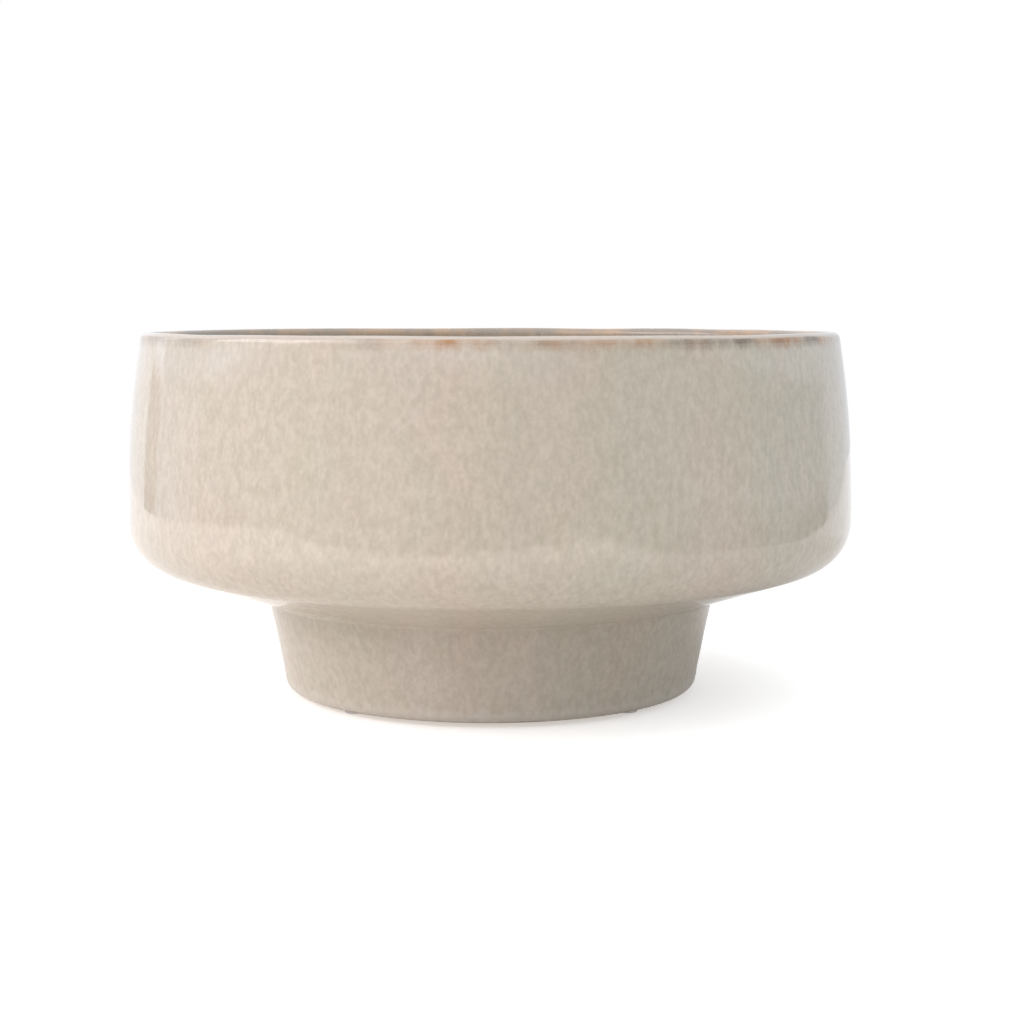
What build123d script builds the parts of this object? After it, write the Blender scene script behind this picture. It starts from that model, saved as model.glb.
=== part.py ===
"""Footed ceramic planting bowl: a round glazed stoneware bowl luted onto a ring foot, with its drainage
fittings (a moulded mesh disc and a silicone stopper) and four silicone bumpers under the foot.

Millimetres, +Z up. The origin is on the surface that the pot stands on, at the centre of the foot.
"""

from build123d import *
from math import cos, radians, sin, tan
import os

# Overall size
overall_diameter = 304.8  # 12 inches, across the widest part of the belly
overall_height = 152.4  # 6 inches, from the surface to the crest of the lip

# Outside of the bowl
belly_radius = overall_diameter / 2
widest_height = 75.2  # height at which the wall starts to lean in
belly_corner_radius = 20.8
rim_radius = 145.8  # outside of the lip, before rounding
lip_thickness = 6.8
lip_rounding = 3.3  # nearly half the lip's thickness, so that the lip is almost a half round
underside_slope = 18.2  # degrees above horizontal, from the neck out to the belly

# Inside of the bowl
inner_belly_radius = 144.4
inner_wall_base = 92.0  # height at which the inner wall is vertical
inner_corner_radius = 28.0
floor_slope = 3.0  # degrees, falling towards the drain hole
floor_knee_radius = 105.0  # where the floor turns up to follow the underside
floor_knee_rounding = 60.0
landing_radius = 28.0  # flat seat around the drain hole, for the mesh disc
drain_hole_radius = 11.0
drain_edge_rounding = 1.2

# Foot
neck_radius = 95.0  # corner where the foot meets the underside of the bowl
neck_height = 40.6
neck_rounding = 3.0
seam_height = 38.5  # flat joint between the bowl and the foot ring
foot_base_radius = 87.3
foot_wall = 15.0
foot_outer_rounding = 5.0
foot_inner_rounding = 1.2
floor_thickness = 10.0
landing_height = seam_height + floor_thickness

# Bumpers under the foot
pad_radius = 4.0
pad_thickness = 1.5
pad_edge_rounding = 0.4
pad_ring_radius = 77.9
pad_angles = {
    "foot_pad_front_left": 225,
    "foot_pad_front_right": 315,
    "foot_pad_back_right": 45,
    "foot_pad_back_left": 135,
}

# Drain mesh disc
mesh_radius = 25.0
mesh_thickness = 1.2
mesh_pitch = 3.6
mesh_opening = 2.4
mesh_rim = 2.0
mesh_cells = 13  # cells across the disc

# Drain stopper
stopper_clearance = 0.07  # between the sealing ribs, as compressed, and the hole
stopper_shank_radius = 9.6
stopper_rib_height = 1.6
stopper_rib_lead = 0.4  # from a rib's lower edge up to its crest
stopper_rib_crest = 0.4  # height of the crest
stopper_rib_root = 1.0  # how deep a rib is rooted in the shank
stopper_rib_pitch = 2.6
stopper_rib_count = 3
stopper_rib_start = 1.0  # from the flange to the first rib
stopper_shank_length = 9.0
stopper_flange_radius = 17.0
stopper_flange_thickness = 2.8
stopper_flange_rounding = 0.9
stopper_tip_chamfer = 1.0
pull_tab_width = 14.0
pull_tab_corner = 6.3
pull_tab_length = 9.0  # below the flange
pull_tab_thickness = 3.4
pull_tab_hole_radius = 2.8
pull_tab_hole_drop = 4.5  # from the flange to the middle of the hole

os.makedirs("parts", exist_ok=True)


def save(piece, name):
    """Labels a finished piece and writes it as parts/<name>.step."""
    piece.part.label = name
    export_step(piece.part, f"parts/{name}.step")


def foot_radius_at(height):
    """Radius of the foot's tapered outside at a height above the surface."""
    share = (height - pad_thickness) / (neck_height - pad_thickness)
    return foot_base_radius + (neck_radius - foot_base_radius) * share


# Bowl: one closed section, from the drain hole out over the belly and the lip and back along the inside
belly_corner_height = neck_height + (belly_radius - neck_radius) * tan(radians(underside_slope))
belly_corner = (belly_radius, belly_corner_height)
neck_corner = (neck_radius, neck_height)
knee_height = landing_height + (floor_knee_radius - landing_radius) * tan(radians(floor_slope))
floor_knee = (floor_knee_radius, knee_height)
inner_rise = (inner_belly_radius - floor_knee_radius) * tan(radians(underside_slope))
inner_corner = (inner_belly_radius, knee_height + inner_rise)
lip_inner_radius = rim_radius - lip_thickness

with BuildPart() as bowl:
    with BuildSketch(Plane.XZ) as bowl_section:
        with BuildLine():
            outside = Polyline(
                (drain_hole_radius, seam_height),
                (foot_radius_at(seam_height), seam_height),
                neck_corner,
                belly_corner,
                (belly_radius, widest_height),
            )
            outer_wall = TangentArc(outside @ 1, (rim_radius, overall_height), tangent=(0, 1))
            lip = Line(outer_wall @ 1, (lip_inner_radius, overall_height))
            inner_wall = TangentArc(
                (inner_belly_radius, inner_wall_base), lip @ 1, tangent=(0, 1)
            )
            Polyline(
                inner_wall @ 0,
                inner_corner,
                floor_knee,
                (landing_radius, landing_height),
                (drain_hole_radius, landing_height),
                outside @ 0,
            )
        make_face()
        fillet(bowl_section.vertices().group_by(Axis.Y)[-1], lip_rounding)
        fillet(bowl_section.vertices().group_by(Axis.X)[0], drain_edge_rounding)
        for corner, rounding in (
            (belly_corner, belly_corner_radius),
            (inner_corner, inner_corner_radius),
            (floor_knee, floor_knee_rounding),
            (neck_corner, neck_rounding),
        ):
            fillet(bowl_section.vertices().sort_by_distance(corner)[0], rounding)
    revolve(axis=Axis.Z)
save(bowl, "bowl")

# Foot ring: thrown separately, tapered, with a rounded resting edge
foot_seam_radius = foot_radius_at(seam_height)
with BuildPart() as foot_ring:
    with BuildSketch(Plane.XZ) as foot_section:
        with BuildLine():
            Polyline(
                (foot_base_radius - foot_wall, pad_thickness),
                (foot_base_radius, pad_thickness),
                (foot_seam_radius, seam_height),
                (foot_seam_radius - foot_wall, seam_height),
                close=True,
            )
        make_face()
        for radius, rounding in (
            (foot_base_radius, foot_outer_rounding),
            (foot_base_radius - foot_wall, foot_inner_rounding),
        ):
            fillet(foot_section.vertices().sort_by_distance((radius, pad_thickness))[0], rounding)
    revolve(axis=Axis.Z)
save(foot_ring, "foot_ring")

# Bumpers: one self-adhesive disc on each quarter of the foot's flat resting face
for name, angle in pad_angles.items():
    x = pad_ring_radius * cos(radians(angle))
    y = pad_ring_radius * sin(radians(angle))
    with BuildPart() as foot_pad:
        with BuildSketch(Plane.XY):
            with Locations((x, y)):
                Circle(pad_radius)
        extrude(amount=pad_thickness)
        fillet(foot_pad.edges().group_by(Axis.Z)[0], pad_edge_rounding)
    save(foot_pad, name)

# Mesh disc: a flat rim round a square grid of openings, lying on the landing round the drain hole
grid_limit = mesh_radius - mesh_rim
half_cell_diagonal = mesh_opening / 2**0.5
openings = [
    cell
    for cell in GridLocations(mesh_pitch, mesh_pitch, mesh_cells, mesh_cells)
    if cell.position.length + half_cell_diagonal < grid_limit
]
with BuildPart() as drain_mesh:
    with BuildSketch(Plane.XY.offset(landing_height)):
        Circle(mesh_radius)
        with Locations(*openings):
            Rectangle(mesh_opening, mesh_opening, mode=Mode.SUBTRACT)
    extrude(amount=mesh_thickness)
save(drain_mesh, "drain_mesh")

# Stopper: a ribbed shank in the drain hole, a flange against the underside and a pull tab below it
rib_radius = drain_hole_radius - stopper_clearance
rib_root_radius = stopper_shank_radius - stopper_rib_root
shank_top = seam_height + stopper_shank_length
flange_base = seam_height - stopper_flange_thickness
tab_root = stopper_flange_thickness / 2  # how far the tab reaches into the flange
with BuildPart() as drain_stopper:
    with BuildSketch(Plane.XZ) as stopper_section:
        with BuildLine():
            Polyline(
                (0, flange_base),
                (stopper_flange_radius, flange_base),
                (stopper_flange_radius, seam_height),
                (stopper_shank_radius, seam_height),
                (stopper_shank_radius, shank_top),
                (0, shank_top),
                close=True,
            )
        make_face()
        fillet(stopper_section.vertices().group_by(Axis.X)[-1], stopper_flange_rounding)
        tip = stopper_section.vertices().sort_by_distance((stopper_shank_radius, shank_top))[0]
        chamfer(tip, stopper_tip_chamfer)
        for rib in range(stopper_rib_count):
            rib_base = seam_height + stopper_rib_start + rib * stopper_rib_pitch
            with BuildLine():
                Polyline(
                    (rib_root_radius, rib_base),
                    (rib_radius, rib_base + stopper_rib_lead),
                    (rib_radius, rib_base + stopper_rib_lead + stopper_rib_crest),
                    (rib_root_radius, rib_base + stopper_rib_height),
                    close=True,
                )
            make_face()
    revolve(axis=Axis.Z)
    with BuildSketch(Plane.XZ.offset(-pull_tab_thickness / 2)) as tab_outline:
        with Locations((0, flange_base - pull_tab_length)):
            Rectangle(pull_tab_width, pull_tab_length + tab_root, align=(Align.CENTER, Align.MIN))
        fillet(tab_outline.vertices().group_by(Axis.Y)[0], pull_tab_corner)
        with Locations((0, flange_base - pull_tab_hole_drop)):
            Circle(pull_tab_hole_radius, mode=Mode.SUBTRACT)
    extrude(amount=pull_tab_thickness)
save(drain_stopper, "drain_stopper")
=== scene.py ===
"""Looks of a footed ceramic planting bowl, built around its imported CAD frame.

Metres, +Z up, in the frame's own axes. The viewer stands at -Y.
"""

import math

import bmesh
import bpy
import numpy as np
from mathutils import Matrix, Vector


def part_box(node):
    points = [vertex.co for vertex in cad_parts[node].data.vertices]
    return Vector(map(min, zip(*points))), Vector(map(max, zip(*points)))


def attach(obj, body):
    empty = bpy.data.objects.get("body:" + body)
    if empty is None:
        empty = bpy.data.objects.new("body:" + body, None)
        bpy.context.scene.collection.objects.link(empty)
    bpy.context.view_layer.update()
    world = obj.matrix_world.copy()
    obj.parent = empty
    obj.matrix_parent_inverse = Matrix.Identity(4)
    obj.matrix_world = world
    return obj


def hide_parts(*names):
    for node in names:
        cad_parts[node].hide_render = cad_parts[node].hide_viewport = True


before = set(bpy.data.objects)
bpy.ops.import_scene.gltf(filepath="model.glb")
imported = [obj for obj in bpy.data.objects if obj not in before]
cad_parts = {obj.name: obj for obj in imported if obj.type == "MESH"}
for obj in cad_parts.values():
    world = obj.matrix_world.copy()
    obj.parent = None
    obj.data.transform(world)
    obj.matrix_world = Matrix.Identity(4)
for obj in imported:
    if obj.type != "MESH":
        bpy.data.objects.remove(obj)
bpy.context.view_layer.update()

MM = 0.001

# ---------------------------------------------------------------- sizes read from the frame
bowl_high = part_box("bowl")[1]
foot_low, foot_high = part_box("foot_ring")
mesh_low, mesh_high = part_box("drain_mesh")
stopper_low, stopper_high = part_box("drain_stopper")
belly_radius = bowl_high.x
rim_height = bowl_high.z
seam_height = foot_high.z
seam_radius = foot_high.x
foot_base = foot_low.z
landing_height = mesh_low.z

# ---------------------------------------------------------------- sizes that the frame's boxes don't give
rim_radius = 145.8 * MM
lip_thickness = 6.8 * MM
lip_rounding = 3.3 * MM
widest_height = 75.2 * MM
belly_rounding = 20.8 * MM
underside_slope = math.radians(18.2)
neck_radius = 95 * MM
neck_height = 40.6 * MM
neck_rounding = 3 * MM
inner_belly_radius = 144.4 * MM
inner_wall_base = 92 * MM
inner_rounding = 28 * MM
floor_slope = math.radians(3)
floor_knee_radius = 105 * MM
floor_knee_rounding = 60 * MM
landing_radius = 28 * MM
landing_rounding = 20 * MM
drain_hole_radius = 11 * MM
drain_rounding = 1.2 * MM
foot_base_radius = 87.3 * MM
foot_wall = 15 * MM
foot_outer_rounding = 5 * MM
foot_inner_rounding = 1.2 * MM
mesh_pitch = 3.6 * MM
mesh_opening = 2.4 * MM
mesh_rim = 2 * MM
mesh_cells = 13  # across the disc
mesh_corner = 0.45 * MM  # of an opening
mesh_edge = 0.22 * MM
stopper_shank_radius = 9.6 * MM
stopper_rib_radius = drain_hole_radius - 0.07 * MM
stopper_rib_count = 3
stopper_rib_pitch = 2.6 * MM
stopper_rib_start = 1 * MM
stopper_flange_thickness = 2.8 * MM
stopper_flange_rounding = 0.9 * MM
stopper_tip_chamfer = 1 * MM
pull_tab_width = 14 * MM
pull_tab_thickness = 3.4 * MM
pull_tab_corner = 6.3 * MM
pull_tab_hole_radius = 2.8 * MM
pull_tab_hole_drop = 4.5 * MM
pull_tab_edge = 0.6 * MM

# ---------------------------------------------------------------- the studio's light, by colour channel
BACKDROP_LEFT = (1.00, 1.03, 1.07)
BACKDROP_RIGHT = (0.85, 0.89, 0.95)
LEFT_PANEL = (0.66, 0.72, 0.84)
CEILING = (1.26, 1.31, 1.31)
SKY_LEFT = (1.25, 1.42, 1.62)
SKY_RIGHT = (0.98, 1.03, 1.10)
ROOM_LEFT = (0.42, 0.41, 0.39)
ROOM_RIGHT = (0.62, 0.64, 0.68)
ROOM_FRONT = (0.05, 0.05, 0.05)
GROUND = (0.06, 0.06, 0.06)
WINDOW = (3.10, 2.90, 2.85)
# TABLE_FRONT, TABLE_NEAR, TABLE_RIGHT and TABLE_FAR are glows painted on the hidden table top in place of the
# light it gives back; TABLE_RIGHT is its painted shade beside the pot
TABLE_FRONT = (1.00, 0.87, 0.72)
TABLE_NEAR = (0.42, 0.40, 0.38)
TABLE_RIGHT = (0.06, 0.06, 0.07)
TABLE_FAR = (0.38, 0.40, 0.44)
LAMP_WATTS = (10.6, 9.5, 10.0)

# Where the room's bright surfaces are: four limits each, between which they fade in, last and fade out. Spans
# are degrees from straight behind the pot towards the right, and heights are a direction's upward share.
BACKDROP_SPAN = (-45, -44, 50, 54)
PANEL_SPAN = (-81, -78, -55.5, -54)
WINDOW_SPAN = (-154, -152, -109, -107)
WINDOW_HEIGHT = (0.30, 0.32, 0.84, 0.86)

SEGMENTS = 480  # round the pot
rng = np.random.default_rng(12)


# ---------------------------------------------------------------- outlines and spun meshes
def rounded(corners, closed=True):
    """Points (r, z) of an outline whose corners (r, z, rounding) are rounded by arcs."""
    points = []
    count = len(corners)
    for i, (r, z, rounding) in enumerate(corners):
        here = np.array((r, z))
        if rounding == 0 or (not closed and i in (0, count - 1)):
            points.append(here)
            continue
        before = np.array(corners[i - 1][:2]) - here
        after = np.array(corners[(i + 1) % count][:2]) - here
        before = before / np.linalg.norm(before)
        after = after / np.linalg.norm(after)
        half_angle = math.acos(np.clip(before @ after, -1, 1)) / 2
        reach = rounding / math.tan(half_angle)
        bisector = (before + after) / np.linalg.norm(before + after)
        centre = here + bisector * rounding / math.sin(half_angle)
        start = here + before * reach - centre
        end = here + after * reach - centre
        turn = math.atan2(start[0] * end[1] - start[1] * end[0], start @ end)
        steps = max(4, int(abs(turn) / math.radians(3)))
        for k in range(steps + 1):
            angle = turn * k / steps
            c, s = math.cos(angle), math.sin(angle)
            points.append(centre + np.array((c * start[0] - s * start[1], s * start[0] + c * start[1])))
    return np.array(points)


def respaced(points, spacing, closed=True):
    """The outline again, with points about spacing(r, z) apart and every sharp corner kept."""
    ring = np.vstack((points, points[:1])) if closed else points
    made = []
    for a, b in zip(ring[:-1], ring[1:]):
        length = np.linalg.norm(b - a)
        if length < 1e-7:
            continue
        pieces = max(1, int(round(length / spacing(*(a + b) / 2))))
        made += [a + (b - a) * k / pieces for k in range(pieces)]
    if not closed:
        made.append(ring[-1])
    return np.array(made)


def leaning_wall(base, base_height, top, top_height, stop_short):
    """Points of an arc that leaves vertically at its base and leans in to its top, stopping short of it."""
    rise = top_height - base_height
    inset = base - top
    radius = (rise**2 + inset**2) / (2 * inset)
    heights = np.linspace(base_height, top_height - stop_short, 60)
    return [(base - radius + math.sqrt(radius**2 - (z - base_height) ** 2), z, 0) for z in heights]


def unevenness(count, most_rounds, shortest):
    """A smooth random function of the angle and the distance along an outline, from 0 to 1."""
    rounds = rng.integers(1, most_rounds + 1, count)
    along = rng.uniform(-1, 1, count) * 2 * math.pi / shortest
    phase = rng.uniform(0, 2 * math.pi, count)
    weight = rng.uniform(0.5, 1, count)
    weight = weight / weight.sum()

    def height(angle, distance):
        total = 0
        for n, k, p, w in zip(rounds, along, phase, weight):
            total = total + w * np.cos(n * angle + k * distance + p)
        return np.clip(0.5 + total, 0, 1)

    return height


def smooth(value, low, high):
    """0 below low, 1 above high, and an S-shaped rise between them."""
    t = np.clip((value - low) / (high - low), 0, 1)
    return t * t * (3 - 2 * t)


def along_outline(points):
    """Distance along an outline from its first point to each point."""
    return np.concatenate(([0], np.cumsum(np.linalg.norm(np.diff(points, axis=0), axis=1))))


def outward(points, closed=True):
    """Unit normals that point out of the solid, for an outline that runs anticlockwise in (r, z)."""
    if closed:
        run = np.roll(points, -1, axis=0) - np.roll(points, 1, axis=0)
    else:
        run = np.gradient(points, axis=0)
    run = run / np.linalg.norm(run, axis=1)[:, None]
    return np.column_stack((run[:, 1], -run[:, 0]))


def spin(name, points, sunk=None, marks=None, segments=SEGMENTS, closed=True, centre=(0, 0), sharp=35):
    """A solid turned about Z. sunk[j, i] is how far point i at angle j lies below the outline; marks are
    point attributes, one value for each point of the outline, or one for each point at each angle."""
    angle = np.arange(segments) * 2 * math.pi / segments
    radius = np.broadcast_to(points[:, 0], (segments, len(points))).copy()
    height = np.broadcast_to(points[:, 1], (segments, len(points))).copy()
    if sunk is not None:
        normal = outward(points, closed)
        radius -= normal[:, 0] * sunk
        height -= normal[:, 1] * sunk
    x = centre[0] + radius * np.cos(angle)[:, None]
    y = centre[1] + radius * np.sin(angle)[:, None]
    places = np.stack((x, y, height), axis=-1).reshape(-1, 3)
    n = len(points)
    columns = np.arange(n if closed else n - 1)
    here = (np.arange(segments)[:, None] * n + columns).ravel()
    up = (np.arange(segments)[:, None] * n + (columns + 1) % n).ravel()
    step = np.roll(np.arange(segments), -1)[:, None] * n
    beside = (step + columns).ravel()
    beside_up = (step + (columns + 1) % n).ravel()
    faces = np.column_stack((here, beside, beside_up, up))
    mesh = bpy.data.meshes.new(name)
    mesh.from_pydata(places.tolist(), [], faces.tolist())
    for key, values in (marks or {}).items():
        layer = mesh.attributes.new(key, "FLOAT", "POINT")
        spread = np.broadcast_to(values, (segments, len(points)))
        layer.data.foreach_set("value", spread.ravel().astype(np.float32))
    if not closed:
        weld(mesh)
    return finished(name, mesh, sharp)


def weld(mesh):
    """Joins the points that lie together, such as those on the axis."""
    work = bmesh.new()
    work.from_mesh(mesh)
    bmesh.ops.remove_doubles(work, verts=work.verts, dist=1e-6)
    bmesh.ops.recalc_face_normals(work, faces=work.faces)
    work.to_mesh(mesh)
    work.free()


def finished(name, mesh, sharp):
    """Links a mesh as a smooth-shaded piece whose edges stay sharp above an angle in degrees."""
    mesh.polygons.foreach_set("use_smooth", [True] * len(mesh.polygons))
    mesh.set_sharp_from_angle(angle=math.radians(sharp))
    piece = bpy.data.objects.new(name, mesh)
    bpy.context.scene.collection.objects.link(piece)
    return piece


# ---------------------------------------------------------------- a short way to write node trees
class Graph:
    """Each call adds a node and gives back its output socket."""

    def __init__(self, tree):
        self.tree = tree
        tree.nodes.clear()

    def node(self, kind, inputs=None, output=0, **settings):
        made = self.tree.nodes.new(kind)
        for key, value in settings.items():
            setattr(made, key, value)
        for key, value in (inputs or {}).items():
            if isinstance(value, bpy.types.NodeSocket):
                self.tree.links.new(value, made.inputs[key])
            else:
                made.inputs[key].default_value = value
        return made.outputs[output]

    def math(self, operation, a, b=0.0):
        return self.node("ShaderNodeMath", {0: a, 1: b}, operation=operation)

    def times(self, *values):
        total = values[0]
        for value in values[1:]:
            total = self.math("MULTIPLY", total, value)
        return total

    def plus(self, *values):
        total = values[0]
        for value in values[1:]:
            total = self.math("ADD", total, value)
        return total

    def rise(self, value, low, high, start=0.0, end=1.0):
        """From start to end in an S-shaped curve as the value goes from low to high."""
        inputs = {"Value": value, "From Min": low, "From Max": high, "To Min": start, "To Max": end}
        return self.node("ShaderNodeMapRange", inputs, interpolation_type="SMOOTHSTEP")

    def band(self, value, start, full, fading, end):
        """0 before start, 1 from full to fading, and 0 again from end on, with S-shaped slopes."""
        return self.times(self.rise(value, start, full), self.rise(value, fading, end, 1, 0))

    def mix(self, share, a, b):
        return self.node("ShaderNodeMix", {0: share, 6: a, 7: b}, output=2, data_type="RGBA")

    def stretched(self, vector, x, y, z):
        return self.node("ShaderNodeVectorMath", {0: vector, 1: (x, y, z)}, operation="MULTIPLY")

    def noise(self, vector, size, detail=2.0, roughness=0.5):
        """Noise with lumps about half the given size across, in metres."""
        inputs = {"Vector": vector, "Scale": 1 / size, "Detail": detail, "Roughness": roughness}
        return self.node("ShaderNodeTexNoise", inputs)

    def mark(self, name):
        return self.node("ShaderNodeAttribute", output="Fac", attribute_name=name)


def material(name):
    made = bpy.data.materials.new(name)
    made.use_nodes = True
    return made, Graph(made.node_tree)


def surface(g, inputs):
    """Ends a material in a Principled shader."""
    shader = g.node("ShaderNodeBsdfPrincipled", inputs, output="BSDF")
    out = g.tree.nodes.new("ShaderNodeOutputMaterial")
    g.tree.links.new(shader, out.inputs["Surface"])


# ---------------------------------------------------------------- camera and studio
def make_camera():
    """A camera level with the rim, 0.78 m in front of the pot, aimed a little down and to the right."""
    distance = 0.780
    above_foot = 0.1596
    down = math.radians(6.3)
    right = math.radians(0.667)
    data = bpy.data.cameras.new("camera")
    data.lens = 64.3
    data.sensor_width = 36
    data.clip_start = 0.01
    data.clip_end = 100
    camera = bpy.data.objects.new("camera", data)
    camera.location = (0, -distance, foot_base + above_foot)
    camera.rotation_euler = (math.pi / 2 - down, 0, -right)
    bpy.context.scene.collection.objects.link(camera)
    bpy.context.scene.camera = camera


def flat_sheet(name, low, high, height):
    """A rectangle of floor, which isn't part of the object."""
    mesh = bpy.data.meshes.new(name)
    corners = [(low[0], low[1]), (high[0], low[1]), (high[0], high[1]), (low[0], high[1])]
    mesh.from_pydata([(x, y, height) for x, y in corners], [], [(0, 1, 2, 3)])
    sheet = bpy.data.objects.new(name, mesh)
    bpy.context.scene.collection.objects.link(sheet)
    return sheet


def make_floor():
    """A white floor with a soft shadow round the pot. The pot itself is lit by the table top instead."""
    white, g = material("white_floor")
    place = g.node("ShaderNodeTexCoord", output="Object")
    away = g.node("ShaderNodeVectorMath", {0: place}, output="Value", operation="LENGTH")
    grain = g.noise(place, 20 * MM, 3)
    paper = g.mix(grain, (0.88, 0.88, 0.88, 1), (0.92, 0.92, 0.92, 1))
    lit_paper = {"Base Color": paper, "Roughness": 0.9, "Specular IOR Level": 0.1,
                 "Emission Color": (1, 1, 1, 1), "Emission Strength": 0.42}
    near = g.node("ShaderNodeBsdfPrincipled", lit_paper, output="BSDF")
    far = g.node("ShaderNodeEmission", {"Color": (1, 1, 1, 1), "Strength": 1.0})
    whole = g.node("ShaderNodeMixShader", {0: g.rise(away, 0.22, 0.75), 1: near, 2: far})
    out = g.tree.nodes.new("ShaderNodeOutputMaterial")
    g.tree.links.new(whole, out.inputs["Surface"])
    shown = flat_sheet("floor", (-12, -12), (12, 12), 0)
    shown.visible_glossy = False
    shown.visible_diffuse = False
    shown.visible_shadow = False
    shown.data.materials.append(white)


def make_table():
    """A table top, turned a little, that ends 0.76 m in front of the pot's middle. The camera doesn't see it,
    but the pot is lit by it and mirrors it. Its light is a painted glow, bright in front, with a painted
    shadow of the pot to the right of the foot."""
    table, g = material("table_top")
    place = g.node("ShaderNodeTexCoord", output="Object")
    split = g.node("ShaderNodeSeparateXYZ", {0: place})
    x, y = (split.node.outputs[axis] for axis in "XY")
    pot_middle = (0.844, 0.742, 0)  # in the table's own axes
    from_pot = g.node("ShaderNodeVectorMath", {0: place, 1: pot_middle}, output="Value", operation="DISTANCE")
    # Painted glow in place of the light a lit table gives back: bright in front, dim beside the pot, dark to
    # its right, cool grey far behind
    to_right = g.rise(x, 0.72, 1.37)
    front_right = [0.80 * channel for channel in TABLE_FRONT]
    front = g.mix(to_right, (*TABLE_FRONT, 1), (*front_right, 1))
    near = g.mix(to_right, (*TABLE_NEAR, 1), (*TABLE_RIGHT, 1))
    painted_glow = g.mix(g.rise(y, 0.05, 0.55), front, near)
    painted_glow = g.mix(g.rise(y, 0.90, 1.20), painted_glow, (*TABLE_FAR, 1))
    # Painted shadow of the pot on the table to the right of the foot, which darkens both the painted glow and
    # the table's colour
    painted_shadow = g.times(g.rise(x, 0.74, 1.00), g.rise(from_pot, 0.11, 0.21, 1, 0), 0.5)
    painted_glow = g.mix(painted_shadow, painted_glow, (0, 0, 0, 1))
    wood_with_painted_shadow = g.mix(painted_shadow, (0.58, 0.56, 0.54, 1), (0.04, 0.04, 0.04, 1))
    surface(g, {"Base Color": wood_with_painted_shadow, "Roughness": 0.9, "Specular IOR Level": 0.1,
                "Emission Color": painted_glow, "Emission Strength": 1.0})
    lit = flat_sheet("table_top", (0, 0), (1.5, 2.3), 0)
    lit.location = (-0.98, -0.55, -0.2 * MM)
    lit.rotation_euler = (0, 0, math.radians(-12))
    lit.visible_camera = False
    lit.visible_shadow = False
    lit.data.materials.append(table)


def make_world():
    """The room, by direction: a bright backdrop behind the pot, a bright panel to the left of it and a window
    at the front left. Round the rest, a dark ground and a dim band lie under a skyline that is higher towards
    the viewer, with bright walls and a ceiling above it."""
    world = bpy.data.worlds.new("studio")
    bpy.context.scene.world = world
    world.use_nodes = True
    g = Graph(world.node_tree)
    direction = g.node("ShaderNodeTexCoord", output="Generated")
    split = g.node("ShaderNodeSeparateXYZ", {0: direction})
    x, y, up = (split.node.outputs[axis] for axis in "XYZ")
    azimuth = g.math("ARCTAN2", x, y)
    from_behind = g.math("ABSOLUTE", azimuth)
    skyline = g.rise(from_behind, math.radians(50), math.radians(135), 0.06, 0.29)
    above = g.rise(g.math("SUBTRACT", up, skyline), -0.01, 0.02)
    right = g.rise(x, -0.25, 0.25)
    room = g.mix(right, (*ROOM_LEFT, 1), (*ROOM_RIGHT, 1))
    room = g.mix(g.rise(y, -0.85, -0.45, 1, 0), room, (*ROOM_FRONT, 1))
    room = g.mix(g.rise(up, -0.12, -0.04, 1, 0), room, (*GROUND, 1))
    room = g.mix(above, room, g.mix(right, (*SKY_LEFT, 1), (*SKY_RIGHT, 1)))
    room = g.mix(g.rise(up, 0.50, 0.80), room, (*CEILING, 1))
    window = g.times(g.band(azimuth, *map(math.radians, WINDOW_SPAN)), g.band(up, *WINDOW_HEIGHT))
    room = g.mix(window, room, (*WINDOW, 1))
    low = g.rise(up, 0.75, 0.90, 1, 0)
    panel = g.band(azimuth, *map(math.radians, PANEL_SPAN))
    room = g.mix(g.times(panel, low), room, (*LEFT_PANEL, 1))
    behind = g.band(azimuth, *map(math.radians, BACKDROP_SPAN))
    backdrop = g.mix(right, (*BACKDROP_LEFT, 1), (*BACKDROP_RIGHT, 1))
    room = g.mix(g.times(behind, low), room, backdrop)
    seen = g.node("ShaderNodeLightPath", output="Is Camera Ray")
    colour = g.mix(seen, room, (1, 1, 1, 1))
    background = g.node("ShaderNodeBackground", {"Color": colour, "Strength": 1.0})
    out = g.tree.nodes.new("ShaderNodeOutputWorld")
    g.tree.links.new(background, out.inputs["Surface"])


def make_lamp():
    """A large softbox at the left, a little in front of the pot and above it, aimed at the pot."""
    width, tall = 1.2, 1.0
    distance, height = 1.7, 1.1
    azimuth = math.radians(80)  # from the viewer's side towards the left
    data = bpy.data.lights.new("lamp", "AREA")
    data.shape = "RECTANGLE"
    data.size = width
    data.size_y = tall
    data.energy = max(LAMP_WATTS)
    data.color = [channel / data.energy for channel in LAMP_WATTS]
    lamp = bpy.data.objects.new("lamp", data)
    lamp.location = (-math.sin(azimuth) * distance, -math.cos(azimuth) * distance, height)
    aim = Vector((0, 0, 0.08)) - lamp.location
    lamp.rotation_euler = aim.to_track_quat("-Z", "Y").to_euler()
    bpy.context.scene.collection.objects.link(lamp)


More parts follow.
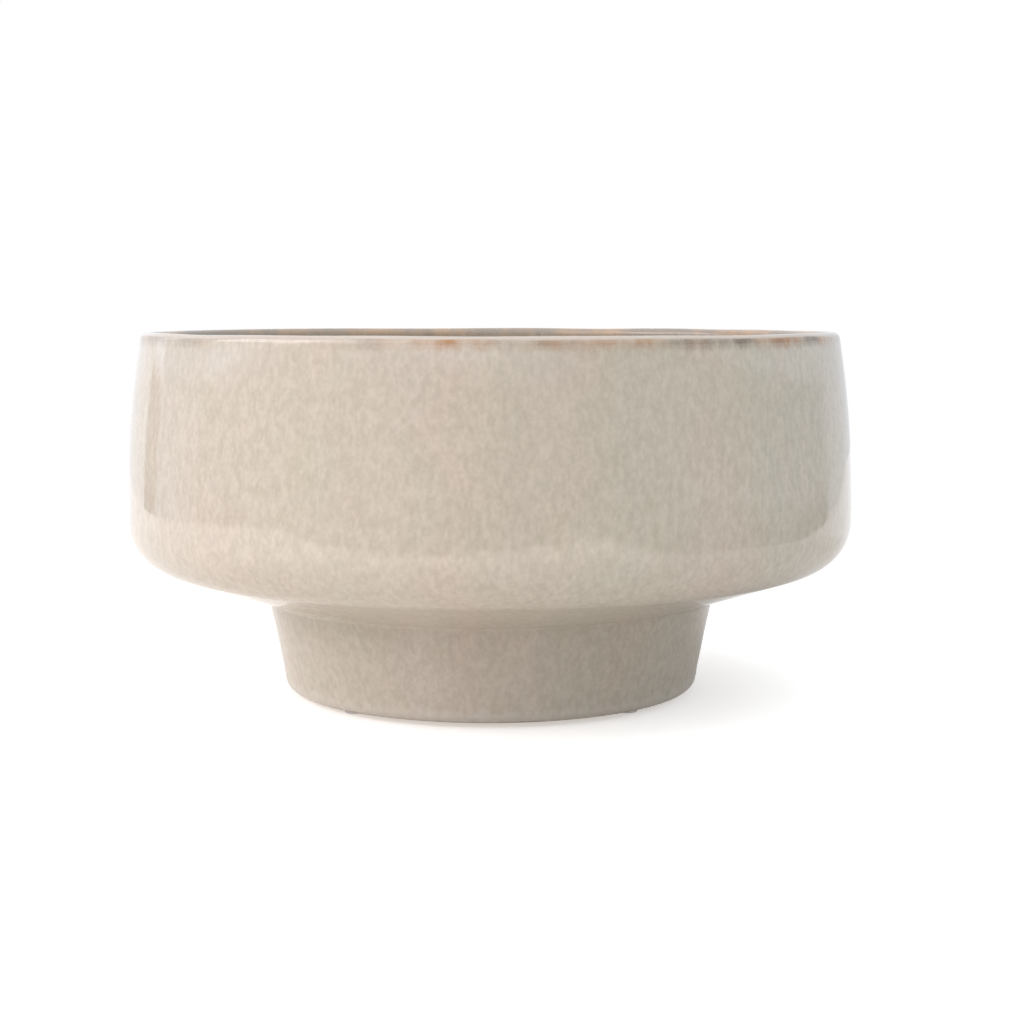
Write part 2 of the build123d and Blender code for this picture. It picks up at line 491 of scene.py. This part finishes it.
# ---------------------------------------------------------------- glaze
def mottled(g, run, around):
    """The glaze's body: short vertical streaks and specks over soft pinkish, greenish and greyish clouds and
    a few wide runs of other tints. Around is the angle from the viewer's side towards the right."""
    base = (0.556, 0.492, 0.410, 1)
    # Clouds: their size, the squeeze that makes them taller, their share and their tint
    for width, lift, share, tint in (
        (58 * MM, 0.35, 0.42, (0.592, 0.478, 0.405)),
        (47 * MM, 0.30, 0.42, (0.524, 0.494, 0.392)),
        (26 * MM, 0.50, 0.22, (0.556, 0.500, 0.448)),
        (11 * MM, 0.55, 0.20, (0.590, 0.494, 0.415)),
        (9 * MM, 0.55, 0.20, (0.512, 0.474, 0.382)),
    ):
        cloud = g.noise(g.stretched(run, 1, 1, lift), width, 2)
        base = g.mix(g.times(g.rise(cloud, 0.42, 0.62), share), base, (*tint, 1))
    wander = g.times(g.plus(g.noise(g.stretched(run, 1, 1, 0.5), 24 * MM, 3), -0.5), math.radians(14))
    # Wide runs: middle and half width in degrees round the pot, their share and their tint
    for middle, half_width, share, tint in (
        (-14, 4, 0.35, (0.600, 0.522, 0.440)),
        (-5, 4, 0.45, (0.578, 0.480, 0.408)),
        (3, 4, 0.30, (0.520, 0.462, 0.382)),
        (20, 9, 0.45, (0.512, 0.486, 0.396)),
        (50, 10, 0.30, (0.512, 0.482, 0.415)),
    ):
        beside = g.math("ABSOLUTE", g.plus(around, wander, -math.radians(middle)))
        stripe = g.rise(beside, math.radians(half_width * 0.4), math.radians(half_width * 1.3), 1, 0)
        base = g.mix(g.times(stripe, share), base, (*tint, 1))
    streaks = g.noise(g.stretched(run, 1, 1, 0.55), 2.7 * MM, 3, 0.50)
    specks = g.noise(g.stretched(run, 1, 1, 0.75), 1.5 * MM, 2)
    for tone in (
        g.mix(g.rise(streaks, 0.30, 0.70), (0.94, 0.935, 0.925, 1), (1.055, 1.06, 1.07, 1)),
        g.mix(g.rise(specks, 0.32, 0.68), (0.96, 0.96, 0.96, 1), (1.04, 1.04, 1.04, 1)),
    ):
        base = g.node("ShaderNodeVectorMath", {0: base, 1: tone}, operation="MULTIPLY")
    return base, streaks, specks


def broken_lip(g, base, drop, run, flat):
    """Brown where the glaze breaks thin on both edges of the lip, and paler glaze on its crest and below."""
    under_lip = g.band(drop, 5.0 * MM, 7.5 * MM, 11 * MM, 24 * MM)
    in_places = g.rise(g.noise(flat, 38 * MM, 2), 0.44, 0.58)
    base = g.mix(g.times(under_lip, in_places, 0.15), base, (0.600, 0.560, 0.528, 1))
    crest = g.band(drop, -0.8 * MM, 0.4 * MM, 2.4 * MM, 3.4 * MM)
    base = g.mix(g.times(crest, 0.70), base, (0.520, 0.440, 0.380, 1))

    wander = g.times(g.plus(g.noise(flat, 22 * MM, 2), -0.5), 1.2 * MM)
    ragged = g.times(g.plus(g.noise(g.stretched(run, 1, 1, 0.2), 2.2 * MM, 3, 0.6), -0.5), 4.5 * MM)
    edge = g.plus(drop, wander)
    thread_end = g.plus(edge, g.times(ragged, 0.5))
    thread = g.times(g.rise(edge, 2.0 * MM, 2.7 * MM), g.rise(thread_end, 4.1 * MM, 5.4 * MM, 1, 0))
    runs_end = g.plus(edge, ragged)
    runs = g.times(g.rise(edge, 2.4 * MM, 3.2 * MM), g.rise(runs_end, 4.8 * MM, 7.6 * MM, 1, 0), 0.65)
    outer = g.math("MAXIMUM", thread, runs)
    broken = g.rise(g.noise(g.stretched(run, 1, 1, 0.5), 5 * MM, 3, 0.6), 0.34, 0.54, 0.55, 1.0)
    burnt = g.times(g.mark("iron"), broken)
    iron = g.mix(g.rise(g.noise(flat, 26 * MM, 2), 0.42, 0.58), (0.215, 0.160, 0.120, 1),
                 (0.410, 0.225, 0.110, 1))
    base = g.mix(g.times(outer, burnt), base, iron)
    inside = g.times(g.plus(drop, g.times(ragged, 0.8)), -1.0)
    inner = g.band(inside, 0.8 * MM, 2.0 * MM, 4.5 * MM, 9.5 * MM)
    dull = g.mix(g.rise(g.noise(flat, 34 * MM, 3, 0.6), 0.42, 0.60), (0.270, 0.225, 0.185, 1),
                 (0.420, 0.285, 0.190, 1))
    return g.mix(g.times(inner, 0.85), base, dull)


def pooled_foot(g, base, run):
    """Paler glaze gathered low on the foot in short drips, and a thin brown line at its lower edge."""
    low = g.mark("rise")
    drips = g.times(g.plus(g.noise(g.stretched(run, 1, 1, 0.12), 4.5 * MM, 3), -0.5), 14 * MM)
    pooled = g.rise(g.plus(low, drips), 4.5 * MM, 7.0 * MM, 1, 0)
    base = g.mix(g.times(pooled, 0.38), base, (0.640, 0.600, 0.545, 1))
    wander = g.times(g.plus(g.noise(run, 6 * MM, 3), -0.5), 1.4 * MM)
    line = g.rise(g.plus(low, wander), 0.5 * MM, 1.5 * MM, 1, 0)
    return g.mix(g.times(line, 0.70), base, (0.300, 0.205, 0.140, 1))


def make_glaze(name):
    """Reactive beige glaze on buff stoneware. It reads four marks: drop and rise, in metres along the surface
    from the crest of the lip down the outside and from the glaze's lower edge up the foot; iron, how strongly
    the lip's outer edge is browned; and bare, 1 where the clay is left unglazed."""
    made, g = material(name)
    place = g.node("ShaderNodeTexCoord", output="Object")
    split = g.node("ShaderNodeSeparateXYZ", {0: place})
    across = {0: split.node.outputs[0], 1: split.node.outputs[1]}
    drop = g.mark("drop")
    flat = g.node("ShaderNodeCombineXYZ", across)
    run = g.node("ShaderNodeCombineXYZ", {**across, 2: drop})

    around = g.math("ARCTAN2", split.node.outputs[0], g.times(split.node.outputs[1], -1.0))
    base, streaks, specks = mottled(g, run, around)
    base = broken_lip(g, base, drop, run, flat)
    base = pooled_foot(g, base, run)
    grit = g.noise(place, 1.2 * MM, 4, 0.7)
    clay = g.mix(grit, (0.46, 0.36, 0.26, 1), (0.60, 0.49, 0.37, 1))
    bare = g.mark("bare")
    base = g.mix(bare, base, clay)

    gloss = g.plus(g.rise(specks, 0.3, 0.7, 0.04, 0.08), g.times(bare, 0.6))
    swells = g.noise(g.stretched(run, 1, 1, 0.6), 9 * MM, 2)
    relief = g.plus(g.times(streaks, 0.08), g.times(specks, 0.05), g.times(swells, 0.9), g.times(grit, bare))
    bump = g.node("ShaderNodeBump", {"Strength": 0.5, "Distance": 0.10 * MM, "Height": relief})
    surface(g, {"Base Color": base, "Roughness": gloss, "IOR": 1.5, "Normal": bump})
    return made


# ---------------------------------------------------------------- the pot
def softened(points):
    """The outline with the inner half of the lip's round worn back to a longer curve, 6 mm tall."""
    tall = 6 * MM
    inner = rim_radius - lip_thickness
    crest = inner + lip_rounding
    for point in points:
        below = rim_height - point[1]
        if point[0] < crest and below < tall:
            share = math.sqrt(1 - ((tall - below) / tall) ** 2)
            point[0] = max(point[0], crest - lip_rounding * share)
    return points


def bowl_outline():
    """The bowl's section, anticlockwise from the drain hole: the seam, the outside, the lip, the inside."""
    slope = math.tan(underside_slope)
    lip_inner = rim_radius - lip_thickness
    knee_height = landing_height + (floor_knee_radius - landing_radius) * math.tan(floor_slope)
    inner_corner_height = knee_height + (inner_belly_radius - floor_knee_radius) * slope
    lip_reach = 4.2 * MM
    corners = [
        (drain_hole_radius, seam_height, drain_rounding),
        (seam_radius, seam_height, 0),
        (neck_radius, neck_height, neck_rounding),
        (belly_radius, neck_height + (belly_radius - neck_radius) * slope, belly_rounding),
        *leaning_wall(belly_radius, widest_height, rim_radius, rim_height, lip_reach),
        (rim_radius, rim_height, lip_rounding),
        (lip_inner, rim_height, lip_rounding),
        *reversed(leaning_wall(inner_belly_radius, inner_wall_base, lip_inner, rim_height, lip_reach)),
        (inner_belly_radius, inner_corner_height, inner_rounding),
        (floor_knee_radius, knee_height, floor_knee_rounding),
        (landing_radius, landing_height, landing_rounding),
        (drain_hole_radius, landing_height, drain_rounding),
    ]

    def spacing(r, z):
        near_lip = z > rim_height - 9 * MM
        hidden = z < seam_height + 0.1 * MM
        return 0.55 * MM if near_lip else 4 * MM if hidden else 1.6 * MM

    return respaced(softened(rounded(corners)), spacing)


def browned(angle):
    """How strongly the lip's outer edge is browned at an angle: in known places at the front, and at random
    further round."""
    from_front = (np.degrees(angle) + 270) % 360 - 180
    random_places = 0.15 + 0.75 * smooth(unevenness(12, 30, 1)(angle, 0), 0.35, 0.65)
    known_places = 0.05
    # Middle and half width of each place in degrees, from the front towards the right, and its strength
    for middle, half_width, strength in (
        (-68, 10, 0.50),
        (-50, 5, 0.25),
        (-16, 4, 0.45),
        (-9.5, 1.6, 0.60),
        (-6, 1.8, 1.00),
        (-1, 3, 0.55),
        (8, 4, 0.65),
        (16, 4, 0.50),
        (22, 3, 0.60),
        (30, 4, 0.85),
        (39, 4, 0.85),
        (48, 4, 0.90),
        (58, 7, 0.90),
    ):
        known_places = known_places + strength * np.exp(-(((from_front - middle) / half_width) ** 2))
    front_share = 1 - smooth(np.abs(from_front), 68, 80)
    return random_places + (np.clip(known_places, 0, 1) - random_places) * front_share


def make_bowl(glaze):
    points = bowl_outline()
    run = along_outline(points)
    lean = 0.2  # finds the point of the lip that faces up and a little outwards
    crest = np.argmax(points[:, 1] + lean * points[:, 0])
    drop = run[crest] - run
    angle = (np.arange(SEGMENTS) * 2 * math.pi / SEGMENTS)[:, None]
    radius, height = points.T
    under = (height < seam_height + 1 * MM) & (radius < seam_radius - 1 * MM)
    free = smooth(height, seam_height + 1 * MM, neck_height + 8 * MM) * smooth(radius, 32 * MM, 40 * MM)

    # Slow waves over the whole pot, a wavy lip, and the potter's spiral rings inside
    waves = unevenness(14, 7, 60 * MM)(angle, run) * 0.30 * MM
    lip_zone = smooth(height, rim_height - 25 * MM, rim_height)
    lip_waves = unevenness(10, 16, 400 * MM)(angle, run) * 0.35 * MM
    inside = drop < -12 * MM
    ring_pitch = 9 * MM
    rings = 0.5 + 0.5 * np.cos(2 * math.pi * run / ring_pitch + angle)
    ring_depth = 0.30 * MM * smooth(-drop, 12 * MM, 40 * MM)
    sunk = free * (waves + lip_zone * lip_waves + inside * ring_depth * rings)

    far_above = np.full(len(points), 1.0)  # the bowl's glaze has no lower edge of its own
    marks = {"drop": drop, "rise": far_above, "bare": under.astype(float), "iron": browned(angle)}
    bowl = spin("glazed_bowl", points, sunk, marks)
    bowl.data.materials.append(glaze)
    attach(bowl, "pot")
    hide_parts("bowl")
    return points, drop


def make_foot(glaze, bowl_drop):
    """The ring foot. Its glaze ends in a soft bead just above the face that it rests on."""
    corners = [
        (foot_base_radius - foot_wall, foot_base, foot_inner_rounding),
        (foot_base_radius, foot_base, foot_outer_rounding),
        (seam_radius, seam_height, 0),
        (seam_radius - foot_wall, seam_height, 0),
    ]

    def spacing(r, z):
        return 0.5 * MM if z < foot_base + 14 * MM else 1.5 * MM

    points = respaced(rounded(corners), spacing)
    run = along_outline(points)
    radius, height = points.T
    seam_point = np.argmax(radius + 0.1 * height)
    outside = (radius > foot_base_radius - foot_outer_rounding) & (run <= run[seam_point] + 0.1 * MM)
    glaze_edge = np.interp(foot_base + 0.7 * MM, height[outside], run[outside])
    rise = run - glaze_edge
    drop = bowl_drop + run[seam_point] - run
    glazed = outside & (rise > 0)
    angle = (np.arange(SEGMENTS) * 2 * math.pi / SEGMENTS)[:, None]

    drips = unevenness(40, 70, 400 * MM)(angle, run)
    pool_top = (4 + 6 * drips) * MM
    thin = 0.22 * MM * smooth(rise, pool_top - 2 * MM, pool_top + 2 * MM)
    seam_fade = 1 - smooth(height, seam_height - 14 * MM, seam_height - 2 * MM)
    clay = 0.30 * MM * (1 - smooth(rise, -0.5 * MM, 0.3 * MM)) * smooth(
        radius, foot_base_radius - foot_outer_rounding, foot_base_radius - foot_outer_rounding + 1.5 * MM)
    sunk = outside * (thin * seam_fade + clay)

    marks = {"drop": drop, "rise": np.where(glazed, rise, 1.0), "bare": 1.0 - glazed, "iron": 0.0}
    foot = spin("glazed_foot", points, sunk, marks)
    foot.data.materials.append(glaze)
    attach(foot, "pot")
    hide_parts("foot_ring")


# ---------------------------------------------------------------- drain fittings and bumpers
def ring_points(centre, radius, count):
    """A circle's points in a plane."""
    angles = np.arange(count) * 2 * math.pi / count
    return np.column_stack((centre[0] + radius * np.cos(angles), centre[1] + radius * np.sin(angles)))


def rounded_box(low, high, rounding):
    """A rectangle's outline in a plane, with rounded corners."""
    corners = [(low[0], low[1]), (high[0], low[1]), (high[0], high[1]), (low[0], high[1])]
    return rounded([(x, y, rounding) for x, y in corners])


def plate(name, outlines, thickness, edge):
    """The mesh of a flat plate, centred on z = 0, with the first outline outside and the others as openings.
    Its edges are rounded, within the outlines."""
    curve = bpy.data.curves.new(name, "CURVE")
    curve.dimensions = "2D"
    curve.fill_mode = "BOTH"
    curve.extrude = thickness / 2 - edge
    curve.bevel_depth = edge
    curve.bevel_resolution = 2
    curve.offset = -edge
    for outline in outlines:
        spline = curve.splines.new("POLY")
        spline.points.add(len(outline) - 1)
        for point, (x, y) in zip(spline.points, outline):
            point.co = (x, y, 0, 1)
        spline.use_cyclic_u = True
    holder = bpy.data.objects.new(name, curve)
    mesh = bpy.data.meshes.new_from_object(holder)
    bpy.data.objects.remove(holder)
    bpy.data.curves.remove(curve)
    weld(mesh)
    return mesh


def joined(name, body, mesh):
    """The union of a piece and a mesh, as one piece in the first one's place."""
    other = bpy.data.objects.new(name, mesh)
    bpy.context.scene.collection.objects.link(other)
    union = body.modifiers.new("union", "BOOLEAN")
    union.operation = "UNION"
    union.solver = "EXACT"
    union.object = other
    whole = bpy.data.meshes.new_from_object(body.evaluated_get(bpy.context.evaluated_depsgraph_get()))
    bpy.data.objects.remove(other)
    bpy.data.objects.remove(body)
    return finished(name, whole, 35)


def make_mesh_plastic():
    """Charcoal moulded polyethylene with a faint grain and a few pale scuffs."""
    made, g = material("mesh_plastic")
    place = g.node("ShaderNodeTexCoord", output="Object")
    grain = g.noise(place, 0.5 * MM, 3)
    scuffs = g.rise(g.noise(g.stretched(place, 1, 0.25, 1), 3 * MM, 4, 0.7), 0.60, 0.72)
    base = g.mix(grain, (0.020, 0.022, 0.021, 1), (0.034, 0.036, 0.034, 1))
    base = g.mix(g.times(scuffs, 0.35), base, (0.11, 0.11, 0.10, 1))
    gloss = g.rise(grain, 0.3, 0.7, 0.42, 0.58)
    bump = g.node("ShaderNodeBump", {"Strength": 0.5, "Distance": 0.05 * MM, "Height": grain})
    surface(g, {"Base Color": base, "Roughness": gloss, "IOR": 1.49, "Normal": bump})
    return made


def make_stopper_rubber():
    """Warm grey silicone with a velvety surface, and pale dust in random patches."""
    made, g = material("stopper_rubber")
    place = g.node("ShaderNodeTexCoord", output="Object")
    cloud = g.noise(place, 7 * MM, 4, 0.6)
    grain = g.noise(place, 0.4 * MM, 2)
    base = g.mix(g.rise(cloud, 0.35, 0.65), (0.105, 0.094, 0.084, 1), (0.135, 0.122, 0.110, 1))
    dust = g.times(g.rise(g.noise(place, 2 * MM, 4, 0.7), 0.58, 0.70), 0.25)
    base = g.mix(dust, base, (0.30, 0.28, 0.25, 1))
    bump = g.node("ShaderNodeBump", {"Strength": 0.4, "Distance": 0.04 * MM, "Height": grain})
    surface(g, {"Base Color": base, "Roughness": g.rise(cloud, 0.3, 0.7, 0.50, 0.62), "IOR": 1.42,
                "Sheen Weight": 0.15, "Sheen Roughness": 0.5, "Normal": bump})
    return made


def make_bumper_rubber():
    """Milky translucent silicone."""
    made, g = material("bumper_rubber")
    place = g.node("ShaderNodeTexCoord", output="Object")
    cloud = g.noise(place, 3 * MM, 3)
    base = g.mix(cloud, (0.70, 0.69, 0.66, 1), (0.80, 0.79, 0.77, 1))
    grain = g.noise(place, 0.6 * MM, 2)
    bump = g.node("ShaderNodeBump", {"Strength": 0.3, "Distance": 0.03 * MM, "Height": grain})
    surface(g, {"Base Color": base, "Roughness": g.rise(cloud, 0.3, 0.7, 0.28, 0.40), "IOR": 1.41,
                "Transmission Weight": 0.35, "Normal": bump})
    return made


def make_drain_mesh():
    """The mesh disc: a flat rim round a square grid of openings with rounded bars."""
    radius = mesh_high.x
    middle = (mesh_cells - 1) / 2
    outlines = [ring_points((0, 0), radius, 144)]
    for column in range(mesh_cells):
        for row in range(mesh_cells):
            x = (column - middle) * mesh_pitch
            y = (row - middle) * mesh_pitch
            half = mesh_opening / 2
            if math.hypot(x, y) + half * math.sqrt(2) < radius - mesh_rim:
                outlines.append(rounded_box((x - half, y - half), (x + half, y + half), mesh_corner)[::-1])
    thickness = mesh_high.z - mesh_low.z
    mesh = plate("moulded_drain_mesh", outlines, thickness, mesh_edge)
    for vertex in mesh.vertices:
        vertex.co.z += mesh_low.z + thickness / 2
    piece = finished("moulded_drain_mesh", mesh, 50)
    piece.data.materials.append(make_mesh_plastic())
    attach(piece, "drain_mesh")
    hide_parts("drain_mesh")


def stopper_outline():
    """The stopper's section, anticlockwise from the axis below, past flange and ribs to the axis above."""
    flange = stopper_high.x
    flange_base = seam_height - stopper_flange_thickness
    shank = stopper_shank_radius
    top = stopper_high.z
    corners = [(0, flange_base, 0), (flange, flange_base, stopper_flange_rounding),
               (flange, seam_height, stopper_flange_rounding), (shank, seam_height, 0.4 * MM)]
    for start in seam_height + stopper_rib_start + np.arange(stopper_rib_count) * stopper_rib_pitch:
        corners += [(shank, start + 0.17 * MM, 0.08 * MM), (stopper_rib_radius, start + 0.40 * MM, 0.15 * MM),
                    (stopper_rib_radius, start + 0.80 * MM, 0.15 * MM), (shank, start + 1.26 * MM, 0.25 * MM)]
    corners += [(shank, top - stopper_tip_chamfer, 0.3 * MM), (shank - stopper_tip_chamfer, top, 0.3 * MM),
                (0, top, 0)]
    return rounded(corners, closed=False)


def make_drain_stopper():
    """The silicone stopper: a ribbed shank and a flange, with a flat pull tab below them."""
    body = spin("spun_stopper", stopper_outline(), segments=128, closed=False)
    flange_base = seam_height - stopper_flange_thickness
    half_width = pull_tab_width / 2
    tab_root = flange_base + stopper_flange_thickness / 2
    past_root = tab_root + pull_tab_corner
    outline = rounded_box((-half_width, stopper_low.z), (half_width, past_root), pull_tab_corner)
    outline = outline[outline[:, 1] < tab_root]
    hole = ring_points((0, flange_base - pull_tab_hole_drop), pull_tab_hole_radius, 48)[::-1]
    tab = plate("tab", [outline, hole], pull_tab_thickness, pull_tab_edge)
    for vertex in tab.vertices:
        x, z, y = vertex.co
        vertex.co = (x, -y, z)
    piece = joined("moulded_drain_stopper", body, tab)
    piece.data.materials.append(make_stopper_rubber())
    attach(piece, "drain_stopper")
    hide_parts("drain_stopper")


def make_foot_pad(node, rubber):
    """A self-adhesive bumper: a disc with a softly rounded resting edge and a flared adhesive face."""
    low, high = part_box(node)
    centre = (low + high) / 2
    radius = (high.x - low.x) / 2
    corners = [(0, low.z, 0), (radius - 0.15 * MM, low.z, 0.55 * MM),
               (radius - 0.12 * MM, high.z - 0.3 * MM, 0.2 * MM), (radius, high.z - 0.12 * MM, 0.05 * MM),
               (radius, high.z, 0), (0, high.z, 0)]
    pad = spin("moulded_" + node, rounded(corners, closed=False), segments=64, closed=False, centre=centre)
    pad.data.materials.append(rubber)
    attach(pad, "pot")
    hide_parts(node)


make_camera()
make_floor()
make_table()
make_world()
make_lamp()
bowl_points, bowl_drops = make_bowl(make_glaze("bowl_glaze"))
seam_index = np.argmin(np.hypot(bowl_points[:, 0] - seam_radius, bowl_points[:, 1] - seam_height))
make_foot(make_glaze("foot_glaze"), bowl_drops[seam_index])
make_drain_mesh()
make_drain_stopper()
bumper_rubber = make_bumper_rubber()
for pad_node in ("foot_pad_front_left", "foot_pad_front_right", "foot_pad_back_right", "foot_pad_back_left"):
    make_foot_pad(pad_node, bumper_rubber)

bpy.context.scene.view_settings.view_transform = "Standard"
